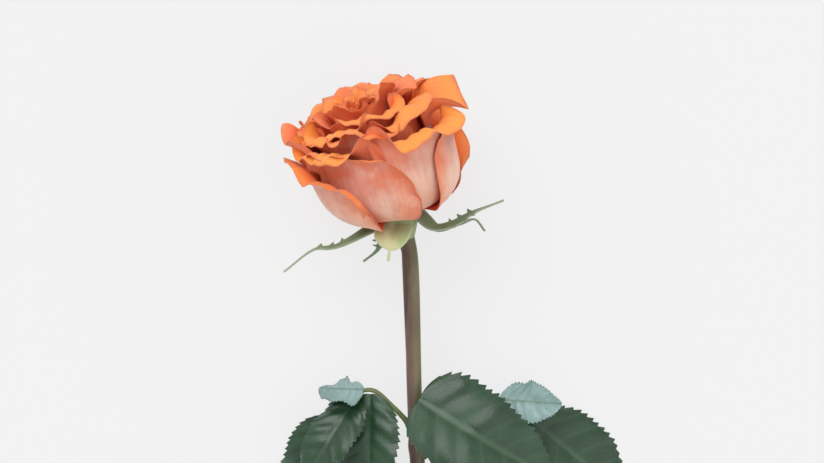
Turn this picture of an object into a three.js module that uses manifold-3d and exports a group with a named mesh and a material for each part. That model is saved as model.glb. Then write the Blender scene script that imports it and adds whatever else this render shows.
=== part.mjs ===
// A cut garden rose, laid down on a flat surface with the open face of the bloom turned up.
//
// Millimetres, +Z up. +Y runs along the stem from the cut end to the bloom, and +X is to the right
// when the rose is looked at from above. The origin is at the bottom centre of the whole rose.
//
// The bloom is a set of nested petals. Each petal is a strip of a bowl of revolution: it leaves the
// seat nearly level, turns up as the wall of the bowl, and rolls outward again at its rim. An inner
// petal follows a steeper and shorter bowl, so that it stands clear inside every older petal.

import * as THREE from "three";
import { mergeVertices } from "three/addons/utils/BufferGeometryUtils.js";
import Module from "manifold-3d";

const wasm = await Module();
wasm.setup();

// ---- driving dimensions ----

const GAP = 0.35; // between any two neighbouring pieces

const PETAL_COUNT = 34;
const PETAL_THICKNESS = 0.35;
const OUTER_PETAL_LENGTH = 57; // along the petal, from seat to rim
const INNER_PETAL_LENGTH = 42;
const OUTER_BOWL_ARC = 34; // length of petal that turns from level to upright
const INNER_BOWL_ARC = 15;
const OUTER_ROLL_ARC = 18; // length of petal that rolls outward at the rim
const INNER_ROLL_ARC = 9;
const OUTER_HALF_WIDTH = 44; // degrees of the bowl's circle, from the middle line to an edge
const INNER_HALF_WIDTH = 62;
const CLAW_SHARE = 0.38; // width of the petal at its seat, as a share of its full width
const GUARD_WALL_SLOPE = 66; // degrees that the wall of the oldest petal, which opens furthest, rises
const GUARD_RIM_SLOPE = 20; // degrees that its rim rises
const HEART_SHIFT = 9; // how far the heart of the bloom sits to the left of its axis

const SEAT_RADIUS = 7.4; // ring on which the outermost petals stand
const SEAT_INNER_RADIUS = 1.6; // ring of the innermost ones
const SEAT_RISE = 6; // how much higher the innermost petals stand

const HIP_LENGTH = 12;
const SEPAL_DROP = 3.36; // how far below the petals' seat the sepals leave the hip
const STEM_TOP_RADIUS = 3;
const STEM_CUT_RADIUS = 2.8;
const STEM_REACH = 343; // from the petals' seat to the cut end, along Y
const PRICKLE_LENGTH = 4.2;
const PRICKLE_RADIUS = 1.1; // at its root
const PRICKLE_HOOK = 1.6; // how far its tip bends towards the cut end

const HEAD_TILT = 18; // degrees that the bloom is raised from the surface
const HEAD_LEAN = 11; // degrees that it leans to the left

const SEPAL_THICKNESS = 0.6;
const SEPAL_WIDTH = 11; // of all but the broad one in front
const BROAD_SEPAL_WIDTH = 14;
const SEPAL_FOLD = 12; // degrees that each half of a sepal rises from its middle line
const LEAF_THICKNESS = 0.5;
const LEAF_FOLD = 10; // degrees that each half of a leaflet rises from its midrib
const STALK_RADIUS = 1.1; // of a leaf, where it leaves the stem
const LEAFLET_STANDOFF = 3.3; // from the middle of the stalk to where a leaflet begins

// Directions in which the ten oldest petals face, in degrees round the bloom: 0 is right, 90 is
// underneath, 180 is left and 270 is the upper side. The younger ones follow the golden angle.
const OLDEST_FACING = [200, 33, 124, 252, 15, 163, 304, 78, 220, 343];
const GOLDEN_ANGLE = 137.5;

// ---- helpers ----

const degrees = THREE.MathUtils.degToRad;
const mix = THREE.MathUtils.lerp;
const ease = (x) => THREE.MathUtils.smoothstep(x, 0, 1);
const vec = (x, y, z) => new THREE.Vector3(x, y, z);

// Joins the shared corners of a geometry, so that it is one closed skin.
function closedSkin(geometry) {
  geometry.deleteAttribute("normal");
  geometry.deleteAttribute("uv");
  const skin = mergeVertices(geometry, 1e-4);
  skin.computeVertexNormals();
  return skin;
}

// Moves every corner of a geometry to where the rule puts it.
function reshape(geometry, rule) {
  const corners = geometry.getAttribute("position");
  const corner = new THREE.Vector3();
  for (let i = 0; i < corners.count; i++) {
    corner.fromBufferAttribute(corners, i);
    const moved = rule(corner);
    corners.setXYZ(i, moved.x, moved.y, moved.z);
  }
  return closedSkin(geometry);
}

// A thin closed sheet on both sides of surface(u, v), with u from -1 to 1 and v from 0 to 1.
function sheet(across, along, thickness, surface) {
  const step = 1e-3;
  const slab = new THREE.BoxGeometry(2, 1, 1, across, along, 1);
  return reshape(slab, (corner) => {
    const u = corner.x;
    const v = corner.y + 0.5;
    const inner = u * 0.96; // just inside, as an outline may turn too sharply at its very edge
    const alongU = surface(inner + step, v).sub(surface(inner - step, v));
    const alongV = surface(u, v + step).sub(surface(u, v - step));
    const normal = alongU.cross(alongV).normalize();
    return surface(u, v).addScaledVector(normal, corner.z * thickness);
  });
}

// A closed rod along a curve, whose radius goes by radiusAt(share of the curve).
function rod(curve, radiusAt, sides, steps) {
  const frames = curve.computeFrenetFrames(steps, false);
  const cylinder = new THREE.CylinderGeometry(1, 1, 1, sides, steps);
  return reshape(cylinder, (corner) => {
    const share = corner.y + 0.5;
    const frame = Math.round(share * steps);
    const radius = radiusAt(share);
    return curve
      .getPointAt(share)
      .addScaledVector(frames.normals[frame], corner.z * radius)
      .addScaledVector(frames.binormals[frame], corner.x * radius);
  });
}

function solidOf(geometry) {
  const vertProperties = geometry.getAttribute("position").array;
  const triVerts = new Uint32Array(geometry.index.array);
  return new wasm.Manifold(new wasm.Mesh({ numProp: 3, vertProperties, triVerts }));
}

function geometryOf(solid) {
  const mesh = solid.getMesh();
  const geometry = new THREE.BufferGeometry();
  geometry.setAttribute("position", new THREE.BufferAttribute(mesh.vertProperties, 3));
  geometry.setIndex(new THREE.BufferAttribute(mesh.triVerts, 1));
  geometry.computeVertexNormals();
  return geometry;
}

// ---- materials ----

const plant = (color, roughness) => () =>
  new THREE.MeshStandardMaterial({ color, roughness, metalness: 0 });
const petalMaterial = plant("#e8966c", 0.55);
const sepalMaterial = plant("#8fa372", 0.7);
const hipMaterial = plant("#7d9460", 0.6);
const stemMaterial = plant("#6d6a43", 0.55);
const leafMaterial = plant("#4b5f45", 0.5);

function piece(name, geometry, material) {
  const mesh = new THREE.Mesh(geometry, material());
  mesh.name = name;
  return mesh;
}

// ---- the bloom ----

// The line that a petal follows from its seat to its rim, as distances from the axis and heights.
// age runs from 0 for the youngest petal to 1 for the oldest.
function petalLine(age, wallSlope, rimSlope) {
  const samples = 90;
  const length = mix(INNER_PETAL_LENGTH, OUTER_PETAL_LENGTH, Math.pow(age, 0.7));
  const bowl = mix(INNER_BOWL_ARC, OUTER_BOWL_ARC, age);
  const rollStart = length - mix(INNER_ROLL_ARC, OUTER_ROLL_ARC, age);
  const seatSlope = mix(80, -8, Math.pow(age, 0.8));
  const line = [];
  let radius = mix(SEAT_INNER_RADIUS, SEAT_RADIUS, age);
  let height = mix(SEAT_RISE, 0, age);
  for (let i = 0; i <= samples; i++) {
    line.push([radius, height]);
    const s = ((i + 0.5) / samples) * length;
    const wall = ease(s / bowl);
    const roll = ease((s - rollStart) / (length - rollStart));
    const slope = degrees(mix(mix(seatSlope, wallSlope, wall), rimSlope, roll));
    radius += (Math.cos(slope) * length) / samples;
    height += (Math.sin(slope) * length) / samples;
  }
  return (share) => {
    const place = THREE.MathUtils.clamp(share, 0, 1) * samples;
    const i = Math.min(Math.floor(place), samples - 1);
    const [radiusA, heightA] = line[i];
    const [radiusB, heightB] = line[i + 1];
    return [mix(radiusA, radiusB, place - i), mix(heightA, heightB, place - i)];
  };
}

function facingOf(index) {
  const last = OLDEST_FACING.length - 1;
  if (index <= last) return OLDEST_FACING[index];
  return (OLDEST_FACING[last] + (index - last) * GOLDEN_ANGLE) % 360;
}

// The heart of the bloom leans to one side, more and more towards its top.
function leanOfHeart(point) {
  const reach = OUTER_PETAL_LENGTH * 0.78;
  const fromAxis = Math.hypot(point.x, point.y) / reach;
  const inside = Math.max(0, 1 - fromAxis * fromAxis);
  point.x -= HEART_SHIFT * inside * ease(point.z / reach);
  return point;
}

const EDGE_CROWDING = 1.3; // how much closer together a petal's columns lie near its edges

function petalGeometry(index) {
  const age = 1 - index / (PETAL_COUNT - 1);
  const wallSlope = index === 0 ? GUARD_WALL_SLOPE : mix(94, 85, age);
  const rimSlope = index === 0 ? GUARD_RIM_SLOPE : mix(72, -38, Math.pow(age, 0.75));
  const line = petalLine(age, wallSlope, rimSlope);
  const facing = degrees(facingOf(index));
  const halfWidth = degrees(mix(INNER_HALF_WIDTH, OUTER_HALF_WIDTH, age));
  const shoulder = 0.26; // how much shorter a petal is at its edges than along its middle
  const surface = (column, v) => {
    const u = Math.sin(EDGE_CROWDING * column) / Math.sin(EDGE_CROWDING);
    const edge = Math.sqrt(Math.max(0, 1 - Math.pow(Math.abs(u), 2.4)));
    const [radius, height] = line(v * (1 - shoulder * (1 - edge)));
    const width = halfWidth * mix(CLAW_SHARE, 1, ease(v / 0.55));
    const turn = facing + width * u;
    return leanOfHeart(vec(radius * Math.cos(turn), radius * Math.sin(turn), height));
  };
  const across = age > 0.7 ? 10 : 8;
  const along = age > 0.7 ? 10 : age > 0.35 ? 9 : 6;
  return sheet(across, along, PETAL_THICKNESS, surface);
}

function makePetals() {
  const petals = new THREE.Group();
  for (let index = 0; index < PETAL_COUNT; index++) {
    const name = "petal_" + String(index).padStart(2, "0");
    petals.add(piece(name, petalGeometry(index), petalMaterial));
  }
  return petals;
}

const HIP_SHARE = 0.82; // widest radius of the hip, as a share of the ring of the outermost petals

// The swollen top of the stem. Its domed upper side carries the petals.
function hipGeometry() {
  const seat = GAP + PETAL_THICKNESS;
  const profile = [
    [0, -HIP_LENGTH],
    [STEM_TOP_RADIUS, -HIP_LENGTH],
    [SEAT_RADIUS * 0.58, -HIP_LENGTH * 0.75],
    [SEAT_RADIUS * 0.76, -HIP_LENGTH * 0.45],
    [SEAT_RADIUS * HIP_SHARE, -HIP_LENGTH * 0.2],
    [SEAT_RADIUS * 0.8, -seat],
    [SEAT_INNER_RADIUS, SEAT_RISE - seat - GAP],
    [0, SEAT_RISE - seat],
  ];
  const lathe = new THREE.LatheGeometry(
    profile.map(([radius, height]) => new THREE.Vector2(radius, height)),
    16,
  );
  return closedSkin(lathe.rotateX(Math.PI / 2));
}

// Turns the bloom's own axis, +Z, to where it points on the lying rose.
function turnHead(object) {
  object.rotation.set(degrees(HEAD_TILT - 90), 0, degrees(HEAD_LEAN), "ZXY");
  object.updateMatrixWorld(true);
  return object;
}

const head = turnHead(new THREE.Group());
head.add(makePetals());
head.add(piece("receptacle", hipGeometry(), hipMaterial));
head.updateMatrixWorld(true);

const floor = new THREE.Box3().setFromObject(head, true).min.z; // the surface, below the seat
const headAxis = vec(0, 0, 1).transformDirection(head.matrixWorld);

// ---- the stem ----

const stemCurve = new THREE.CatmullRomCurve3([
  headAxis.clone().multiplyScalar(-HIP_LENGTH - GAP),
  headAxis.clone().multiplyScalar(-HIP_LENGTH - 8),
  vec(5.4, -76, mix(-6, floor, 0.28)),
  vec(9, -STEM_REACH * 0.45, mix(-6, floor, 0.5)),
  vec(11, -STEM_REACH * 0.75, mix(-6, floor, 0.74)),
  vec(14, -STEM_REACH, floor + STEM_CUT_RADIUS),
]);

const stemRadiusAt = (share) => mix(STEM_TOP_RADIUS, STEM_CUT_RADIUS, share);

// The share of the stem's length at which it passes a given Y.
function stemShareAt(y) {
  let low = 0;
  let high = 1;
  for (let i = 0; i < 30; i++) {
    const middle = (low + high) / 2;
    if (stemCurve.getPointAt(middle).y > y) low = middle;
    else high = middle;
  }
  return low;
}

// The direction out of the stem on one side of it: 0 degrees is right, 90 is up and 180 is left.
const outOfStem = (side) => vec(Math.cos(degrees(side)), 0, Math.sin(degrees(side)));

// A curved prickle that stands on the stem at a share of its length, on one side.
function prickle(share, side) {
  const root = stemCurve.getPointAt(share);
  const out = outOfStem(side);
  const across = out.clone().cross(vec(0, 1, 0));
  const reach = stemRadiusAt(share) * 0.8;
  const cone = new THREE.ConeGeometry(PRICKLE_RADIUS, PRICKLE_LENGTH, 6, 3);
  return reshape(cone, (corner) => {
    const rise = corner.y / PRICKLE_LENGTH + 0.5;
    const hook = -PRICKLE_HOOK * rise * rise;
    return root
      .clone()
      .addScaledVector(out, reach + rise * PRICKLE_LENGTH)
      .addScaledVector(across, corner.x * 0.6)
      .add(vec(0, corner.z * 1.6 + hook, 0));
  });
}

// Each prickle's place as a share of the stem's length, and its side.
const PRICKLES = [
  [0.31, 160],
  [0.38, 30],
  [0.49, 205],
  [0.61, 330],
  [0.68, 85],
  [0.77, 190],
  [0.85, 350],
  [0.93, 120],
];

function stemGeometry() {
  let solid = solidOf(rod(stemCurve, stemRadiusAt, 12, 30));
  for (const [share, side] of PRICKLES) solid = solid.add(solidOf(prickle(share, side)));
  return geometryOf(solid);
}

// ---- sheets that follow a curve: sepals and leaflets ----

// A blade along a curve. Its upper side looks along facing, its halves fold up towards each other
// by fold degrees, and its half width goes by widthAt(share of the curve).
function blade(curve, facing, fold, thickness, widthAt, across, along) {
  const rise = Math.sin(degrees(fold));
  const spread = Math.cos(degrees(fold));
  const surface = (u, v) => {
    const share = THREE.MathUtils.clamp(v, 0, 1);
    const forward = curve.getTangentAt(share);
    const side = forward.clone().cross(facing).normalize();
    const up = side.clone().cross(forward);
    const reach = u * widthAt(share);
    return curve
      .getPointAt(share)
      .addScaledVector(forward, (v - share) * curve.getLength())
      .addScaledVector(side, reach * spread)
      .addScaledVector(up, Math.abs(reach) * rise);
  };
  return sheet(across, along, thickness, surface);
}

// Each sepal leaves the rim of the hip at its own side of the bloom, passes through its points and
// ends in a thin, curled tip.
const SEPALS = [
  { side: 245, facing: [0, 1, 0.9], points: [[-3.4, -9.3, 11], [-4, -13.5, 14], [-4.8, -19.5, 13]] },
  { side: 182, facing: [-0.1, 1, 0.4], points: [[-14, -9.5, 2.5], [-25, -14.5, 2], [-34, -15.5, -3], [-46, -24, -8]] },
  { side: 335, facing: [0.1, 1, 0.4], points: [[13, -7.5, 4], [20, -6, 4.5], [28, -1, 2], [40, 4, -2]] },
  { side: 112, facing: [-0.6, 0.4, -0.7], points: [[-7, -9, -11], [-9, -15, -13.5], [-15, -20, -14]] },
  { side: 40, facing: [0.1, 1, -0.3], points: [[14, -8, -8], [23, -5.5, -9], [29, -3.5, -8], [33, -8, -9]] },
];
const BROAD_SEPAL = 0; // its place in the list

const sepalHalfWidth = (width) => (share) => (width / 2) * mix(0.75, 0.08, ease(share * 1.1)) + 0.3;

// Where a sepal leaves the hip.
function sepalRoot(side) {
  const reach = SEAT_RADIUS * HIP_SHARE + SEPAL_THICKNESS + GAP;
  const turn = degrees(side);
  const root = vec(reach * Math.cos(turn), reach * Math.sin(turn), -SEPAL_DROP);
  return root.applyMatrix4(head.matrixWorld);
}

function makeSepals() {
  const sepals = new THREE.Group();
  SEPALS.forEach(({ side, facing, points }, index) => {
    const curve = new THREE.CatmullRomCurve3([sepalRoot(side), ...points.map((point) => vec(...point))]);
    const halfWidth = sepalHalfWidth(index === BROAD_SEPAL ? BROAD_SEPAL_WIDTH : SEPAL_WIDTH);
    const geometry = blade(curve, vec(...facing), SEPAL_FOLD, SEPAL_THICKNESS, halfWidth, 2, 9);
    sepals.add(piece("sepal_" + (index + 1), geometry, sepalMaterial));
  });
  return sepals;
}

// ---- the leaves ----

// The half width of a leaflet: round near its base, and drawn out to a point.
const leafletHalfWidth = (width) => (share) =>
  (width / 2) * 1.9 * Math.pow(share + 0.002, 0.55) * Math.pow(1.01 - share, 0.8) + 0.25;

// A leaf: a stalk that leaves the stem, with a pair of leaflets at each of its two joints and one at
// its end. down is how far below the seat it grows, and side is the side of the stem that it grows
// from, in degrees as for a prickle. The stalk's points and a leaflet's tip are counted from the
// middle of the stem there, but a tip's height from the surface. A leaflet starts at a share of its
// stalk, sag lifts its middle above the straight line, and facing is where its upper side looks.
const LEAVES = [
  {
    name: "leaf_left",
    down: 85,
    side: 140,
    stalk: [[-9, 8, 5.5], [-17, 14.5, 5.5], [-26, 12, 1.5], [-34, 5, -3.5]],
    leaflets: [
      { at: 0.52, tip: [-19, -33, 13], sag: 5, facing: [-0.35, 0.2, 1], width: 25 },
      { at: 0.55, tip: [-38, 15, 15], sag: 2, facing: [0, 1, 0.5], width: 19 },
      { at: 0.86, tip: [-33, -39, 6], sag: 3, facing: [0, 0.2, 1], width: 24 },
      { at: 0.62, tip: [-46, -24, 17], sag: 7, facing: [-0.5, 0.2, 1], width: 20 },
      { at: 1, tip: [-49, -45, 0], sag: -2, facing: [-0.1, 0.2, 1], width: 26 },
    ],
  },
  {
    name: "leaf_right",
    down: 93,
    side: 45,
    stalk: [[5.5, 9, 6], [4.6, 16, 8], [14, 20.5, 5], [29, 19, 0], [42, 13, -6]],
    leaflets: [
      { at: 0.31, tip: [56, -14, 14], sag: 10.6, facing: [0.1, 0.25, 1], width: 38 },
      { at: 0.36, tip: [42, -42, 0], sag: -1, facing: [-0.3, 0.1, 1], width: 24 },
      { at: 0.78, tip: [57, 17, 17], sag: 3, facing: [0.1, 0.5, 0.9], width: 19 },
      { at: 0.68, tip: [68, -46, 1], sag: -2, facing: [0.3, 0.2, 1], width: 25 },
      { at: 1, tip: [89, -26, 0], sag: 2, facing: [0.3, 0.3, 1], width: 32 },
    ],
  },
  {
    name: "leaf_low",
    down: 186,
    side: 155,
    stalk: [[-10, 7, 6], [-22, 14, 5.5], [-35, 20, 1.5], [-48, 25, -3.5]],
    leaflets: [
      { at: 0.4, tip: [-34, -26, 0], sag: 4, facing: [-0.2, 0.2, 1], width: 26 },
      { at: 0.38, tip: [-18, 49, 0], sag: 3, facing: [-0.1, -0.2, 1], width: 22 },
      { at: 0.72, tip: [-60, -16, 0], sag: 3, facing: [-0.2, 0.2, 1], width: 27 },
      { at: 0.66, tip: [-46, 56, 0], sag: 3, facing: [-0.2, -0.2, 1], width: 22 },
      { at: 1, tip: [-94, 39, 0], sag: 4, facing: [-0.3, 0, 1], width: 30 },
    ],
  },
];

const stalkRadiusAt = (share) => STALK_RADIUS * mix(1, 0.6, share);

function leafletGeometry(stalk, node, { at, tip, sag, facing, width }) {
  const joint = stalk.getPointAt(at);
  const end = vec(node.x + tip[0], node.y + tip[1], floor + LEAF_THICKNESS + tip[2]);
  const outward = end.clone().sub(joint).normalize();
  const start = joint.addScaledVector(outward, LEAFLET_STANDOFF);
  const middle = start.clone().lerp(end, 0.5).add(vec(0, 0, sag));
  const curve = new THREE.CatmullRomCurve3([start, middle, end]);
  return blade(curve, vec(...facing), LEAF_FOLD, LEAF_THICKNESS, leafletHalfWidth(width), 2, 7);
}

function makeLeaf({ name, down, side, stalk, leaflets }) {
  const share = stemShareAt(-down);
  const node = stemCurve.getPointAt(share);
  const reach = stemRadiusAt(share) + GAP + STALK_RADIUS;
  const curve = new THREE.CatmullRomCurve3([
    node.clone().addScaledVector(outOfStem(side), reach),
    ...stalk.map((offset) => node.clone().add(vec(...offset))),
  ]);
  const leaf = new THREE.Group();
  leaf.add(piece(name, rod(curve, stalkRadiusAt, 8, 14), leafMaterial));
  leaflets.forEach((leaflet, index) => {
    const geometry = leafletGeometry(curve, node, leaflet);
    leaf.add(piece(name + "_leaflet_" + (index + 1), geometry, leafMaterial));
  });
  return leaf;
}

// ---- the whole rose ----

const rose = new THREE.Group();
rose.add(head);
rose.add(piece("stem", stemGeometry(), stemMaterial));
rose.add(makeSepals());
LEAVES.forEach((leaf) => rose.add(makeLeaf(leaf)));

const outline = new THREE.Box3().setFromObject(rose, true);
const centre = outline.getCenter(new THREE.Vector3());
rose.position.set(-centre.x, -centre.y, -outline.min.z);
rose.updateMatrixWorld(true);

export default rose;
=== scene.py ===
# %% [markdown]
# # A cut rose, lying on a pale surface
# The rose lies on its back petals, its stem and the tips of its leaves, and its bloom looks up at us.
# A rose is a set of thin sheets that grew round one another, so nearly every piece here is one sheet:
# a function of two numbers, *across* and *along*, worked out for a whole grid of points at once.

import bpy
import numpy as np
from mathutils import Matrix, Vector


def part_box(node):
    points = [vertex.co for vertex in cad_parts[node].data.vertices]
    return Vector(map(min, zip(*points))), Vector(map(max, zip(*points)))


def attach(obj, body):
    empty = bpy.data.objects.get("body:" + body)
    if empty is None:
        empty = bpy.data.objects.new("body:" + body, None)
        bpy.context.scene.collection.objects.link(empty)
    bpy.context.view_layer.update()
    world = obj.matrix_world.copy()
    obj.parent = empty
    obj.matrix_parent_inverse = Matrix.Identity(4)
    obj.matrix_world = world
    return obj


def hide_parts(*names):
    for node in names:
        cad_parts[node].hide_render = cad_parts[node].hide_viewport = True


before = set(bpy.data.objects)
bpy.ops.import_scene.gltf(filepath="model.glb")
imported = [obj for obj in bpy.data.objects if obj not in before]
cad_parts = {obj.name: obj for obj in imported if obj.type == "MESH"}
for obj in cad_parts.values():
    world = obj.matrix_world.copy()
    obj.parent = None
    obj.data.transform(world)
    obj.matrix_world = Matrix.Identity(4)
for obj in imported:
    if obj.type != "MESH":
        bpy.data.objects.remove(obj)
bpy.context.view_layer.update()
MM = 0.001

# %% [markdown]
# ## Small helpers
# Shapes in nature never switch on at a corner, so most of the curves below are mixed with `ease`,
# which leaves 0 slowly and arrives at 1 slowly. `ripple` adds waves whose phases come from a seeded
# generator, so that every run grows the same rose.

# %% Mixing, easing and ripples
def mix(low, high, share):
    """A value between low and high: low plus share times their difference."""
    return low + (high - low) * share


def ease(x):
    """0 below 0, 1 above 1, and 3x^2 - 2x^3 between, which is level at both ends."""
    x = np.clip(x, 0.0, 1.0)
    return x * x * (3.0 - 2.0 * x)


def ripple(x, waves, seed):
    """A sum of sines of x, each with its own phase. waves holds (how many per unit, how strong)."""
    phases = np.random.default_rng(seed).uniform(0.0, 2.0 * np.pi, len(waves))
    return sum(strength * np.sin(2.0 * np.pi * count * x + phase)
               for (count, strength), phase in zip(waves, phases))


def unit(vectors):
    """Each vector divided by its own length."""
    return vectors / np.linalg.norm(vectors, axis=-1, keepdims=True)


# %% [markdown]
# ## From a grid of points to a thin closed sheet
# A petal is less than half a millimetre thick, but it has two faces of different colours, so it is
# made as a closed skin: the same grid pushed out along its normals for one face and in for the other,
# and a strip round the margin that joins the two. A Solidify modifier would give the same solid. The
# skin is built directly instead, because each point can then remember which face it belongs to.

# %% Sheets
def normals_of(grid):
    """The normal of a grid of points: the step across it crossed with the step along it."""
    across = np.gradient(grid, axis=1)
    along = np.gradient(grid, axis=0)
    return unit(np.cross(across, along))


def closed_sheet(front, back):
    """Points and faces of a closed skin with the grid front on one side and back on the other.

    Each side is a net of four-cornered faces. The margin is walked once round, and each of its steps
    is bridged from one side to the other by one more face."""
    rows, columns = front.shape[:2]
    index = np.arange(rows * columns).reshape(rows, columns)
    near, far = index[:-1, :-1], index[1:, 1:]
    right, left = index[:-1, 1:], index[1:, :-1]
    facing = np.stack([near, right, far, left], axis=-1).reshape(-1, 4)
    shift = rows * columns
    walk = np.concatenate([index[0, :-1], index[:-1, -1], index[-1, :0:-1], index[:0:-1, 0]])
    onward = np.roll(walk, -1)
    margin = np.stack([onward, walk, walk + shift, onward + shift], axis=-1)
    points = np.concatenate([front.reshape(-1, 3), back.reshape(-1, 3)])
    return points, np.concatenate([facing, facing[:, ::-1] + shift, margin])


def mesh_piece(name, points, faces, material, cad_node, uv=None, marks=None):
    """One Blender object from arrays: points in metres, faces, and what each point remembers."""
    mesh = bpy.data.meshes.new(name)
    mesh.vertices.add(len(points))
    mesh.vertices.foreach_set("co", np.asarray(points, np.float32).ravel())
    sides = np.full(len(faces), faces.shape[1])
    mesh.loops.add(int(sides.sum()))
    mesh.loops.foreach_set("vertex_index", faces.astype(np.int32).ravel())
    mesh.polygons.add(len(faces))
    mesh.polygons.foreach_set("loop_start", np.arange(len(faces), dtype=np.int32) * faces.shape[1])
    mesh.polygons.foreach_set("use_smooth", np.full(len(faces), True))
    if uv is not None:
        layer = mesh.uv_layers.new(name="Sheet")
        layer.data.foreach_set("uv", uv[faces.ravel()].astype(np.float32).ravel())
    for mark, values in (marks or {}).items():
        attribute = mesh.attributes.new(mark, "FLOAT", "POINT")
        attribute.data.foreach_set("value", np.asarray(values, np.float32).ravel())
    mesh.update(calc_edges=True)
    mesh.validate()
    mesh.materials.append(material)
    piece = bpy.data.objects.new(name, mesh)
    bpy.context.scene.collection.objects.link(piece)
    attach(piece, "root")
    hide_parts(cad_node)
    return piece


# %% [markdown]
# ## Curves through a few points
# The stem, the stalks and the middle lines of leaves and sepals follow smooth curves through a few
# chosen points. A centripetal spline is used, which passes through every point and doesn't loop where
# two of them are close together. `frames_along` then carries a side direction along the curve.

# %% Splines and rods
def spline(points, count):
    """count evenly spaced points on the centripetal curve through the given points.

    Between two points the curve is a cubic whose end slopes weigh the neighbours by the square root
    of their distances."""
    p = np.asarray(points, float)
    p = np.vstack([2 * p[0] - p[1], p, 2 * p[-1] - p[-2]])
    t = np.linspace(0.0, 1.0, 60)[:, None]
    stretches = []
    for a, b, c, d in zip(p[:-3], p[1:-2], p[2:-1], p[3:]):
        ab, bc, cd = (np.sqrt(np.linalg.norm(y - x)) for x, y in ((a, b), (b, c), (c, d)))
        leave = bc * ((b - a) / ab - (c - a) / (ab + bc) + (c - b) / bc)
        arrive = bc * ((c - b) / bc - (d - b) / (bc + cd) + (d - c) / cd)
        cubic = 2 * b - 2 * c + leave + arrive
        square = 3 * c - 3 * b - 2 * leave - arrive
        stretches.append(b + leave * t + square * t ** 2 + cubic * t ** 3)
    dense = np.concatenate(stretches)
    steps = np.r_[0.0, np.cumsum(np.linalg.norm(np.diff(dense, axis=0), axis=1))]
    even = np.linspace(0.0, steps[-1], count)
    return np.stack([np.interp(even, steps, dense[:, axis]) for axis in range(3)], axis=-1)


def frames_along(path, upward):
    """The forward, side and up directions along a path, with up kept as close to upward as it can be."""
    forward = unit(np.gradient(path, axis=0))
    side = unit(np.cross(forward, upward))
    return forward, side, np.cross(side, forward)


def rod_grid(path, radius, sides, upward):
    """Rings of points round a path: middle plus radius times (side cos turn + up sin turn).

    radius may be an array of one value for each point of each ring."""
    forward, side, up = frames_along(path, upward)
    turn = np.linspace(0.0, 2.0 * np.pi, sides, endpoint=False)
    radius = np.broadcast_to(radius, (len(path), sides))[..., None]
    ring = side[:, None] * np.cos(turn)[None, :, None] + up[:, None] * np.sin(turn)[None, :, None]
    return path[:, None] + ring * radius


def rod_faces(rings, sides):
    """Four-cornered faces between each ring and the next, which close round on themselves."""
    index = np.arange(rings * sides).reshape(rings, sides)
    after = np.roll(index, -1, axis=1)
    return np.stack([index[:-1], index[1:], after[1:], after[:-1]], axis=-1).reshape(-1, 4)


def capped_rod(path, radius, sides, upward):
    """A rod closed at both ends, each by rings that shrink onto the middle of the end."""
    radius = np.broadcast_to(radius, (len(path), sides)).copy()
    ends = np.array([0.02, 0.6, 0.9])[:, None]
    path = np.vstack([path[:1]] * 3 + [path] + [path[-1:]] * 3)
    path[:3] += (path[3] - path[4]) * np.array([0.03, 0.03, 0.015])[:, None]
    path[-3:] += (path[-4] - path[-5]) * np.array([0.015, 0.03, 0.03])[:, None]
    radius = np.vstack([radius[:1] * ends, radius, radius[-1:] * ends[::-1]])
    grid = rod_grid(path, radius, sides, upward)
    return grid, rod_faces(len(path), sides)


# %% [markdown]
# ## Where the bloom sits
# The bloom is easiest to think about standing up, with its axis along +Z and its seat at the origin.
# `to_rose` then tips it over to where it lies. The green receptacle under the petals tells us where
# the seat is: its own outline is rebuilt, tipped in the same way, and matched to its box in the frame.

# %% The bloom's own axes
HEAD_TILT = np.radians(18.0)   # how far the bloom is raised from the surface
HEAD_LEAN = np.radians(11.0)   # how far it leans to the left
SEAT_RADIUS, SEAT_INNER_RADIUS, SEAT_RISE = 7.4, 1.6, 6.0
HIP_LENGTH = 12.0
SEPAL_DROP = 3.36              # how far below the petals' seat the sepals leave the receptacle

tip_over = HEAD_TILT - np.pi / 2
TIP = np.array([[1, 0, 0],
                [0, np.cos(tip_over), -np.sin(tip_over)],
                [0, np.sin(tip_over), np.cos(tip_over)]])
LEAN = np.array([[np.cos(HEAD_LEAN), -np.sin(HEAD_LEAN), 0],
                 [np.sin(HEAD_LEAN), np.cos(HEAD_LEAN), 0],
                 [0, 0, 1]])
TURN = LEAN @ TIP

HIP_PROFILE = np.array([[0, -12.0], [3.0, -12.0], [4.29, -9.0], [5.62, -5.4], [6.07, -2.4],
                        [5.92, -0.7], [1.6, 4.95], [0, 5.3]])


def lathe_points(profile, sides=16):
    """A profile of (radius, height) carried round the axis."""
    turn = np.linspace(0, 2 * np.pi, sides, endpoint=False)
    radius, height = profile[:, :1], profile[:, 1:]
    return np.stack([radius * np.cos(turn), radius * np.sin(turn), height + 0 * turn], axis=-1)


hip_low, hip_high = (np.array(corner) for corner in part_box("receptacle"))
tipped = lathe_points(HIP_PROFILE).reshape(-1, 3) @ TURN.T * MM
SEAT = (hip_low + hip_high) / 2 - (tipped.min(0) + tipped.max(0)) / 2


def to_rose(points):
    """Points of the standing bloom, in millimetres, to where they lie, in metres: turned, then moved."""
    return SEAT + points @ TURN.T * MM


def beside_seat(points):
    """Points given in millimetres from the seat, along the lying rose's own axes, in metres."""
    return SEAT + np.asarray(points, float) * MM


print("the seat of the petals is at", SEAT.round(4))

# %% [markdown]
# ## Material nodes
# Every finish is a Principled shader whose colour, roughness and bump come from small trees of nodes.
# The trees are written with two short helpers: one adds a node and sets its inputs, and the other
# makes a colour ramp, which is how a petal goes from yellow at its claw to apricot at its rim.

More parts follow.
